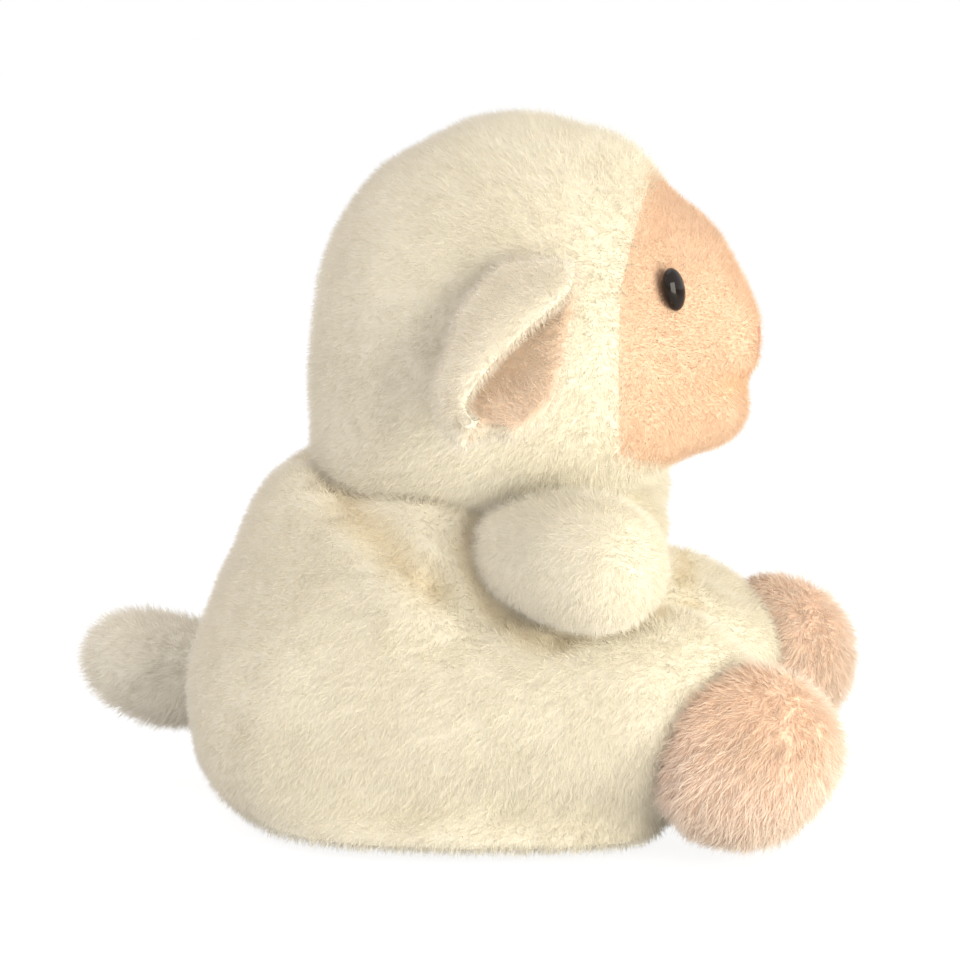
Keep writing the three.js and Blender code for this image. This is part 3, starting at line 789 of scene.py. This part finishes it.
def flanks(bm):
    """A hull on each side that carries the body's side on into the leg."""
    for side in SIDES:
        lower = [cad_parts[f"{name}_{side}"].data for name in ("body_side", "leg_top", "leg_under")]
        hull(bm, [vert.co for mesh in lower for vert in mesh.vertices
                  if FLANK_LOW < vert.co.z < FLANK_HIGH and vert.co.y < FLANK_BACK])


# Outlines of the seat and of a thigh, seen from above in millimetres, and the heights between which they lie
SEAT_PLAN = [(0, -47), (23, -36.5), (35, -30), (42, -24), (46.3, -17.5), (48.7, -8), (49, 6), (47.7, 18)]
THIGH_PLAN = [(47.7, 18), (45.2, 30), (41, 41), (32, 46), (24, 38), (24, 10)]
SEAT_LAYERS = (1.0, 7)


def seat(bm):
    """The flat foot of the body and its thighs, where they spread on what they sit on."""
    hull(bm, [at(sign * x, forward, z) for sign in SIDES.values() for x, forward in SEAT_PLAN
              for z in SEAT_LAYERS])
    for sign in SIDES.values():
        hull(bm, [at(sign * x, forward, z) for x, forward in THIGH_PLAN for z in SEAT_LAYERS])


def body_seams(places):
    """1 on the seam round the base and on the one down the middle."""
    base_height, base_width, middle_width, base_end = 7, 2.5, 2.0, -20 * MM
    base = fade(np.abs(places[:, 2] / MM - base_height), base_width) * (places[:, 1] > base_end)
    middle = fade(np.abs(places[:, 0]) / MM, middle_width)
    return np.maximum(base, middle)


class SHEEP_OT_head(SheepPiece, bpy.types.Operator):
    """Make the head as one padded skin, cut at the face seam."""

    bl_idname = "sheep.head"
    bl_label = "Head and face"

    def execute(self, context):
        nodes = ["head_gusset", "head_side_left", "head_side_right", "face_left", "face_right",
                 "head_stuffing", "neck_stuffing"]
        skin = padded_skin("head_skin", nodes, voxel=1.4 * MM, times=10)
        inflate(skin, head_seams, pressure=3.0, cap=1.2 * MM)
        swell(skin, -HEAD_INSET)
        puffs(skin, HEAD_PUFFS)
        # The lips' fold, pressed in and marked for painted shade
        fold(skin, on_side(1, LIPS_MM), 4.5 * MM, 1.4 * MM)
        subdivide(skin)
        with editing(skin) as bm:
            smooth(bm, 2)
        divide(skin, [MIDDLE, TEMPLE, BROW, CHIN])
        part_of(skin, "face", lambda place: past_seam(place) > 0)
        part_of(skin, "face_field", lambda place: past_seam(place) > -SEAM_BLUR)
        for side, sign in SIDES.items():
            part_of(skin, f"head_{side}", lambda place: place.x * sign > 0 > past_seam(place))
            part_of(skin, f"head_{side}_field",
                    lambda place: place.x * sign > 0 and past_seam(place) < SEAM_BLUR)
        return {"FINISHED"}


# Puffs and dents of the head's profile, written as the body's are

HEAD_PUFFS = [
    (0, 52, 100, 20, 2.9),  # brow
    (0, 56, 86, 14, 3.0),  # nose
    (0, 56, 72, 13, 2.5),  # lip
    (0, 46, 57, 16, -1.2),  # chin
    (0, 34, 118, 14, 2.5),  # top of the face seam
    (0, 46, 108, 13, 0.8),  # forehead
    (0, 2, 124, 16, -1.6),  # crown
    (0, -24, 82, 22, -1.3),  # back of the head
]
LIPS_MM = [(-10, 54, 78.5), (-5, 57, 78), (0, 59, 77.5), (5, 57, 78), (10, 54, 78.5)]

# Planes of the seams: a place on each, and the direction to the face

MIDDLE = at(0, 0, 0), Vector((1, 0, 0))
TEMPLE = at(0, 36, 90), Vector((0, -1, 0))
BROW = at(0, 36, 97), at(0, 1, -0.178).normalized()
CHIN = at(0, 36.4, 68.2), at(0, 0.503, 0.864).normalized()

# Over what distance each side of a seam the two colours of pile mix
SEAM_BLUR = 2.0 * MM


def past_seam(place):
    """How far a place lies in the face, from the nearest seam."""
    return min((place - spot).dot(ahead) for spot, ahead in (TEMPLE, BROW, CHIN))


def head_seams(places):
    """1 on the face seam, and less on the seams of the gusset, which end at the nape."""
    seam_place, seam_height, seam_slope, seam_width = 38, 88, 0.06, 2.2
    gusset_half, gusset_end, gusset_width, gusset_hold = 11, 72 * MM, 2.0, 0.7
    seam = np.abs(-places[:, 1] / MM - seam_place + (places[:, 2] / MM - seam_height) * seam_slope)
    gusset = np.abs(np.abs(places[:, 0]) / MM - gusset_half) + 40 * (places[:, 2] < gusset_end)
    return np.maximum(fade(seam, seam_width), gusset_hold * fade(gusset, gusset_width))


class SHEEP_OT_limbs(SheepPiece, bpy.types.Operator):
    """Make the arms, the feet and the tail as padded skins."""

    bl_idname = "sheep.limbs"
    bl_label = "Arms, feet and tail"

    def execute(self, context):
        for side, sign in SIDES.items():
            arm = padded_skin(f"arm_{side}", STANDS_FOR[f"arm_{side}"], voxel=1.2 * MM, times=14)
            inflate(arm, lambda places: np.zeros(len(places)), pressure=3.0, cap=1.2 * MM)
            swell(arm, -ARM_INSET)
            arm.data.transform(Matrix.Translation(ARM_MOVES[side]))
            subdivide(arm)
            shell = [f"foot_outer_{side}", f"foot_inner_{side}"]
            heel = on_side(sign, HEEL_MM)
            heel += [vert.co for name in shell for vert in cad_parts[name].data.vertices]
            foot = padded_skin(
                f"foot_{side}", shell, voxel=1.2 * MM, times=10, fillers=[lambda bm: hull(bm, heel)])
            swell(foot, -FOOT_INSET)
            puffs(foot, FOOT_PUFFS, sign)
            # Marks the instep for painted warm light, without pressing it in
            fold(foot, on_side(sign, INSTEP_MM), width=17 * MM, depth=0)
            subdivide(foot)
        tail = padded_skin("tail", STANDS_FOR["tail"], voxel=1.0 * MM, times=10)
        swell(tail, -TAIL_INSET)
        puffs(tail, TAIL_PUFFS)
        subdivide(tail)
        return {"FINISHED"}


# How each arm lies off its solid, towards where the photograph shows it
ARM_MOVES = {"left": at(-1.5, 2.0, 1.0), "right": at(2.4, 6.0, 2.2)}

# Corners of the heel, and the line over the instep where the foot's pile is painted warmer, as painted warm
# light
HEEL_MM = [(x, 44, z) for x in (31, 42) for z in (12, 26)]
INSTEP_MM = [(44, 52, 33), (46, 66, 28)]

FOOT_PUFFS = [
    (50, 50, 12, 15, 1.4),  # outer heel
    (40, 60, 36, 17, 1.2),  # top of the toe
    (44, 75, 8, 17, -3.4),  # underside of the toe
]
TAIL_PUFFS = [
    (0, -67, 18, 8, -1.4),  # underside of the tip
    (0, -52, 11, 9, 0.8),  # underside of the root
    (0, -60, 31, 12, 1.0),  # top
]


class SHEEP_OT_ears(SheepPiece, bpy.types.Operator):
    """Make the ears as cupped leaves of two cloths."""

    bl_idname = "sheep.ears"
    bl_label = "Ears"

    def execute(self, context):
        for side, sign in SIDES.items():
            self.leaf(f"ear_{side}", sign, 0, EAR_THICKNESS)
            self.leaf(f"ear_inside_{side}", sign, EAR_RIM, EAR_LINING)
        return {"FINISHED"}

    def leaf(self, name, sign, rim, thickness):
        """A leaf folded round its back edge, sewn shut at the head and nearly so at the tip."""
        along = EAR_TIP - EAR_ROOT
        length = along.length
        along.normalize()
        ahead = Vector((0, -1, 0))
        ahead = (ahead - along * ahead.dot(along)).normalized()
        out = along.cross(ahead)
        if out.x > 0:
            out.negate()
        bm = bmesh.new()
        bmesh.ops.create_grid(bm, x_segments=36, y_segments=30, size=1.0)
        for vert in bm.verts:
            share = (vert.co.y + 1) / 2
            turn = vert.co.x / EAR_BEND
            half, place = self.section(share, turn, rim)
            trim = rim * past(share, 0.5)
            trim += EAR_TIP_ROUND * past(share, 0.75) * min((place.y / half) ** 2, 1.5)
            vert.co = EAR_ROOT + along * (length * share - trim) + ahead * place.x + out * place.y
        bmesh.ops.recalc_face_normals(bm, faces=bm.faces)
        spine = min(bm.faces, key=lambda face: face.calc_center_median().dot(ahead))
        if spine.normal.dot(ahead) > 0:
            bmesh.ops.reverse_faces(bm, faces=bm.faces)
        if sign > 0:
            bmesh.ops.scale(bm, vec=(-1, 1, 1), verts=bm.verts)
            bmesh.ops.reverse_faces(bm, faces=bm.faces)
        ear = new_object(name, bm)
        wall = ear.modifiers.new("Thickness", "SOLIDIFY")
        wall.thickness = thickness
        wall.offset = -1
        settle(ear)
        with editing(ear) as bm:
            smooth(bm, 2)
        subdivide(ear)

    def section(self, share, turn, rim):
        """Half the leaf's gap at a share of its length, and the place at a turn round its bend there.

        The turn runs from -1 to 1 round the bend, and past that along the two flaps.
        """
        near = turn > 0
        sink = EAR_THICKNESS - EAR_SEAT if rim else 0
        back = curve(EAR_BACK, share) + sink
        front = curve(EAR_NEAR if near else EAR_FAR, share) - (rim if near else -0.4 * rim)
        half = EAR_HALF_GAP * math.sqrt(max(math.sin(math.pi * min(share / EAR_FULLEST, 1) / 2), 0))
        half = max(half * (1 - 0.75 * past(share, 0.6)), EAR_THICKNESS) - sink
        if abs(turn) < 1:
            angle = turn * math.pi / 2
            return half, Vector((back + abs(half) * (1 - math.cos(angle)), half * math.sin(angle)))
        part = (abs(turn) - 1) / (1 / EAR_BEND - 1)
        reach = back + abs(half)
        limb = (max(front, reach) - reach) * part
        flare = EAR_FLARE * limb if near else 0
        crown = EAR_CROWN * half * math.sin(math.pi * part)
        return half, Vector((reach + limb, math.copysign(half, turn) + flare + math.copysign(crown, turn)))


def past(share, start):
    """0 up to a start, and from there rising to 1 at the end."""
    return max(share - start, 0) / (1 - start)


def curve(points, share):
    """A smooth curve's value at a share, through points of a share and a value in millimetres."""
    shares, values = zip(*points)
    fine = np.linspace(0, 1, 41)
    line = np.interp(fine, shares, values)
    line = np.convolve(np.pad(line, 3, mode="edge"), np.ones(7) / 7, mode="valid")
    return float(np.interp(share, fine, line)) * MM


# The ear's ends, and how far ahead of the line between them its back and two edges lie, by share of length
EAR_ROOT = at(-32.5, 19.0, 102.0)
EAR_TIP = at(-52.0, 18.4, 72.9)
EAR_BACK = [(0, -1.8), (0.15, -6.0), (0.28, -8.6), (0.46, -9.5), (0.68, -11.2), (0.8, -10.6),
            (0.93, -8.5), (1, -5)]
EAR_FAR = [(0, 10.5), (0.15, 10.5), (0.28, 10.0), (0.46, 9.3), (0.63, 9.0), (0.79, 8.0), (0.93, 5.2),
           (1, 0.5)]
EAR_NEAR = [(0, 10.5), (0.16, 11.2), (0.28, 8.0), (0.43, 2.8), (0.57, -0.6), (0.68, -3.6), (0.8, -6.0),
            (0.93, -4.4), (1, -3.2)]

# The bend's share of the cloth, where the ear is fullest, and its flaps' gap, roundness and opening
EAR_BEND, EAR_FULLEST, EAR_HALF_GAP, EAR_CROWN, EAR_FLARE = 0.3, 0.4, 3.3 * MM, 0.3, 0.1

# The cloths' thicknesses, how far the lining keeps from the rim and sinks in, and the tip's rounding
EAR_THICKNESS, EAR_LINING, EAR_RIM = 2.2 * MM, 0.7 * MM, 1.2 * MM
EAR_SEAT, EAR_TIP_ROUND = 0.5 * MM, 2.6 * MM


class SHEEP_OT_pile(SheepPiece, bpy.types.Operator):
    """Comb every skin, grow its pile, and set both on their bodies."""

    bl_idname = "sheep.pile"
    bl_label = "Pile"

    def execute(self, context):
        pile = context.scene.sheep_pile
        skins = {name: bpy.data.objects[name] for name in STANDS_FOR}
        heads, bodies = [bpy.data.objects["head_skin"]], [bpy.data.objects["body_skin"]]
        arms = [skins["arm_left"], skins["arm_right"]]
        feet = [skins["foot_left"], skins["foot_right"]]
        tail = skins["tail"]
        for side, sign in SIDES.items():
            body, head, arm, foot = (skins[f"{name}_{side}"] for name in ("body", "head", "arm", "foot"))
            ear, inside = skins[f"ear_{side}"], skins[f"ear_inside_{side}"]
            hip, knee = on_side(sign, LEG_BLEND_MM)
            self.dress(body, "Cream pile", pile.cream_length, DOWN, heads + arms + feet + [tail], copies=2,
                       blend=("body", f"leg_{side}", hip, knee))
            self.dress(head, "Cream pile", pile.cream_length, OVER_CROWN, bodies + arms, body="head",
                       copies=2)
            self.dress(arm, "Cream pile", pile.cream_length, DOWN, bodies + heads, body=f"arm_{side}")
            self.dress(foot, "Foot pile", pile.foot_length, OFF_TOE, bodies, body=f"leg_{side}",
                       width=1.4, lean=1.8, wave=0.9, clump=1.6 * MM)
            self.dress(ear, "Ear pile", pile.ear_length, DOWN, heads + [inside], body=f"ear_{side}")
            self.dress(inside, "Lining pile", pile.ear_length, DOWN, heads + [ear], body=f"ear_{side}")
        self.dress(skins["face"], "Peach pile", pile.face_length, None, bodies, body="head", width=0.8,
                   lean=1.2, share=1.4)
        self.dress(tail, "Tail pile", pile.tail_length, BACKWARDS, bodies, body="tail", lean=1.5, wave=0.8,
                   clump=2.5 * MM)
        for whole in heads + bodies:
            drop(whole)
        return {"FINISHED"}

    def dress(self, skin, finish, length, flow, hidden_by, body=None, blend=None, copies=1, width=1.0,
              lean=1.0, wave=0.5, clump=4 * MM, share=1.0):
        """Grows a skin's pile in one or more pieces, and sets skin and pile on their body."""
        field = bpy.data.objects.get(f"{skin.name}_field") or copy_of(skin, f"{skin.name}_field")
        lay_map(skin)
        lay_map(field)
        comb(field, bpy.context.scene.sheep_pile.lean * lean, flow, wave, clump)
        cover_skin(field, hidden_by)
        made = [skin]
        for number in range(copies):
            name = f"{skin.name}_pile_{number + 1}" if copies > 1 else f"{skin.name}_pile"
            made.append(grow(field, name, length, seed=10 * number + 1, share=share / copies, width=width))
        drop(field)
        close(skin)
        for obj in made:
            finish_with(obj, finish)
            if blend:
                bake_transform(obj, *blend)
            else:
                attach(obj, body)


# Between these places on the left the cloth bends from the body into the leg
LEG_BLEND_MM = [(26, 14, 23), (36, 32, 14)]


def pair(made, *names):
    """For each side a skin, and the nodes that it stands for."""
    return {f"{made}_{side}": [f"{name}_{side}" for name in names] for side in SIDES}


STANDS_FOR = {
    **pair("body", "body_side", "leg_top", "leg_under", "leg_stuffing"),
    **pair("head", "head_side"),
    "face": ["face_left", "face_right", "head_stuffing"],
    **pair("arm", "arm_top", "arm_palm", "arm_stuffing"),
    **pair("foot", "foot_outer", "foot_inner", "foot_stuffing"),
    **pair("ear", "ear_outer"),
    **pair("ear_inside", "ear_lining"),
    "tail": ["tail_left", "tail_right", "tail_stuffing"],
}
STANDS_FOR["body_left"] = ["base_panel", *STANDS_FOR["body_left"], "body_stuffing"]
STANDS_FOR["body_right"] = ["belly_panel", *STANDS_FOR["body_right"], "bean_pouch"]
STANDS_FOR["head_left"] += ["head_gusset", "neck_stuffing"]


# Lines of thread, each through points written as left and up
NOSE_MM = [[(0, 84.4), (x / 2, 86.2), (x, 88.2 - 0.06 * x * x)]
           for x in (-2.1, -1.4, -0.7, 0, 0.7, 1.4, 2.1)]
MOUTH_MM = [[(0, 84.2), (0, 81.2)], [(-3.0, 79.2), (-1.6, 79.7), (0, 81.2), (1.6, 79.7), (3.0, 79.2)]]


def on_face(line):
    """Places on the face under points written as left and up, with steps between them."""
    steps, ahead = 5, 90
    tree = tree_of(bpy.data.objects["face"])
    shares = np.linspace(0, len(line) - 1, steps * (len(line) - 1) + 1)
    across, up = (np.interp(shares, range(len(line)), values) for values in zip(*line))
    return [tree.ray_cast(at(x, ahead, z), Vector((0, 1, 0)))[0] for x, z in zip(across, up)]


THREAD_RADIUS, THREAD_SINK = 0.25 * MM, at(0, -0.05, 0)


def stitch_lines():
    return [on_face(line) for line in NOSE_MM + MOUTH_MM]


class SHEEP_OT_stitching(SheepPiece, bpy.types.Operator):
    """Make the stitched nose and mouth, which lie on the face's cloth."""

    bl_idname = "sheep.stitching"
    bl_label = "Nose and mouth"

    def execute(self, context):
        for name, lines in (("nose", NOSE_MM), ("mouth", MOUTH_MM)):
            data = bpy.data.curves.new(f"{name}_thread", "CURVE")
            data.dimensions = "3D"
            data.bevel_depth = THREAD_RADIUS
            data.bevel_resolution = 2
            data.use_fill_caps = True
            for line in lines:
                places = on_face(line)
                spline = data.splines.new("POLY")
                spline.points.add(len(places) - 1)
                for point, place in zip(spline.points, places):
                    point.co = (*(place + THREAD_SINK), 1)
            source = show(f"{name}_source", data)
            graph = context.evaluated_depsgraph_get()
            thread = show(f"{name}_thread", bpy.data.meshes.new_from_object(source.evaluated_get(graph)))
            drop(source)
            finish_with(thread, "Stitch thread")
            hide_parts(f"{name}_stitching")
            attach(thread, "head")
        return {"FINISHED"}


class SHEEP_OT_eyes(SheepPiece, bpy.types.Operator):
    """Make the eyes as glossy domes."""

    bl_idname = "sheep.eyes"
    bl_label = "Eyes"

    def execute(self, context):
        for side, sign in SIDES.items():
            bm = bmesh.new()
            bmesh.ops.create_uvsphere(bm, u_segments=48, v_segments=24, radius=1.0)
            across, ahead, up = EYE_AIM
            aim = Vector((across * sign, -ahead, up)).normalized()
            turn = Vector((0, 0, 1)).rotation_difference(aim).to_matrix().to_4x4()
            size = Matrix.Diagonal((*EYE_HALVES, 1))
            seat, = on_side(sign, [EYE_SEAT_MM])
            bm.transform(Matrix.Translation(seat) @ turn @ size)
            eye = new_object(f"eye_dome_{side}", bm)
            eye.data.polygons.foreach_set("use_smooth", [True] * len(eye.data.polygons))
            finish_with(eye, "Eye plastic")
            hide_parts(f"eye_{side}")
            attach(eye, "head")
        return {"FINISHED"}


# The left eye's seat, where it looks, and its half width, half height and bulge
EYE_SEAT_MM, EYE_AIM = (18.1, 44.5, 96.5), (0.33, 0.94, 0.10)
EYE_HALVES = (2.8 * MM, 3.9 * MM, 1.8 * MM)


class SHEEP_OT_inside(SheepPiece, bpy.types.Operator):
    """Finish the filling, the pouch and the washers, and hide the parts that the skins stand for."""

    bl_idname = "sheep.inside"
    bl_label = "Filling and thread"

    def execute(self, context):
        for word, finish in FILLING.items():
            for name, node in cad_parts.items():
                for place in node.material_slots if word in name else ():
                    place.material = finishes()[finish]
        for name, nodes in STANDS_FOR.items():
            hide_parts(*nodes)
        return {"FINISHED"}


FILLING = {"stuffing": "Fibre filling", "washer": "Washer plastic", "bean_pouch": "Pouch cloth"}


class SHEEP_OT_stage(SheepPiece, bpy.types.Operator):
    """Make the floor, the lamps and the camera."""

    bl_idname = "sheep.stage"
    bl_label = "Stage"

    def execute(self, context):
        self.camera(context)
        self.floor()
        self.lamps(context)
        return {"FINISHED"}

    def camera(self, context):
        stage = context.scene.sheep_stage
        target, away = camera_line()
        data = bpy.data.cameras.new("Camera")
        data.lens = stage.lens
        data.clip_start, data.clip_end = 10 * MM, 20.0
        camera = show("Camera", data)
        camera.location = target + away * stage.distance
        camera.rotation_euler = (-away).to_track_quat("-Z", "Y").to_euler()
        context.scene.camera = camera

    def floor(self):
        bm = bmesh.new()
        bmesh.ops.create_grid(bm, x_segments=2, y_segments=2, size=3.0)
        floor = new_object("floor", bm)

        made, add, shader = new_material("Studio floor")
        set_inputs(shader, {"Base Color": (0.8, 0.8, 0.8, 1), "Roughness": 1.0, "Specular IOR Level": 0.0})
        camera_ray = add("ShaderNodeLightPath").outputs["Is Camera Ray"]
        part = add("ShaderNodeMath", {0: camera_ray, 1: 0.72}, operation="MULTIPLY")
        glow = add("ShaderNodeEmission", {"Strength": 1.25})
        mix = add("ShaderNodeMixShader", {"Fac": part, 1: shader, 2: glow})
        set_inputs(made.node_tree.nodes["Material Output"], {"Surface": mix})
        floor.data.materials.append(made)

    def lamps(self, context):
        world = bpy.data.worlds.new("Studio")
        world.use_nodes = True
        nodes = world.node_tree.nodes
        add = partial(add_node, nodes)
        path = add("ShaderNodeLightPath")
        rays = {0: path.outputs["Is Camera Ray"], 1: path.outputs["Is Glossy Ray"]}
        seen = add("ShaderNodeMath", rays, operation="MAXIMUM")
        level = add("ShaderNodeMapRange", {"Value": seen, "To Min": 0.48, "To Max": 1.0})
        tint = mixed(add, seen, (1.0, 0.96, 0.945, 1), (1, 1, 1, 1))
        set_inputs(nodes["Background"], {"Strength": level, "Color": tint})
        context.scene.world = world
        for name, place, size, power, colour in LAMPS:
            data = bpy.data.lights.new(name, "AREA")
            data.size = size
            data.energy = power
            data.color = colour
            lamp = show(name, data)
            lamp.location = place
            lamp.rotation_euler = (place - at(0, 10, 60)).to_track_quat("Z", "Y").to_euler()
        context.scene.view_settings.view_transform = "Standard"


# Lamps: name, place, size in metres, power in watts and colour
LAMPS = [
    ("Key", at(-240, 310, 50), 0.3, 1.95, (1.0, 0.945, 0.785)),
    ("Back", at(-140, -380, 150), 0.4, 0.6, (1.0, 0.96, 0.955)),
    ("Top", at(60, -60, 620), 0.6, 1.2, (1.0, 0.96, 0.955)),
]


class SHEEP_PT_panel(bpy.types.Panel):
    """The sheep's pieces and sizes."""

    bl_label = "Plush Sheep"
    bl_idname = "SHEEP_PT_panel"
    bl_space_type = "VIEW_3D"
    bl_region_type = "UI"
    bl_category = "Plush Sheep"

    def draw(self, context):
        for operator in OPERATORS:
            self.layout.operator(operator.bl_idname)
        for name in GROUPS:
            group = getattr(context.scene, name)
            for field in group.bl_rna.properties:
                if not field.is_readonly and field.identifier != "name":
                    self.layout.prop(group, field.identifier)


GROUPS = {"sheep_pile": SheepPile, "sheep_colours": SheepColours, "sheep_stage": SheepStage}
OPERATORS = [SHEEP_OT_body, SHEEP_OT_head, SHEEP_OT_limbs, SHEEP_OT_ears, SHEEP_OT_stitching, SHEEP_OT_pile,
             SHEEP_OT_eyes, SHEEP_OT_inside, SHEEP_OT_stage]


def register():
    for group in GROUPS.values():
        bpy.utils.register_class(group)
    for operator in (*OPERATORS, SHEEP_PT_panel):
        bpy.utils.register_class(operator)
    for name, group in GROUPS.items():
        setattr(bpy.types.Scene, name, PointerProperty(type=group))


def unregister():
    for name in GROUPS:
        delattr(bpy.types.Scene, name)
    for operator in (SHEEP_PT_panel, *reversed(OPERATORS)):
        bpy.utils.unregister_class(operator)
    for group in GROUPS.values():
        bpy.utils.unregister_class(group)


def main():
    register()
    for operator in OPERATORS:
        category, name = operator.bl_idname.split(".")
        getattr(getattr(bpy.ops, category), name)()


if __name__ == "__main__":
    main()
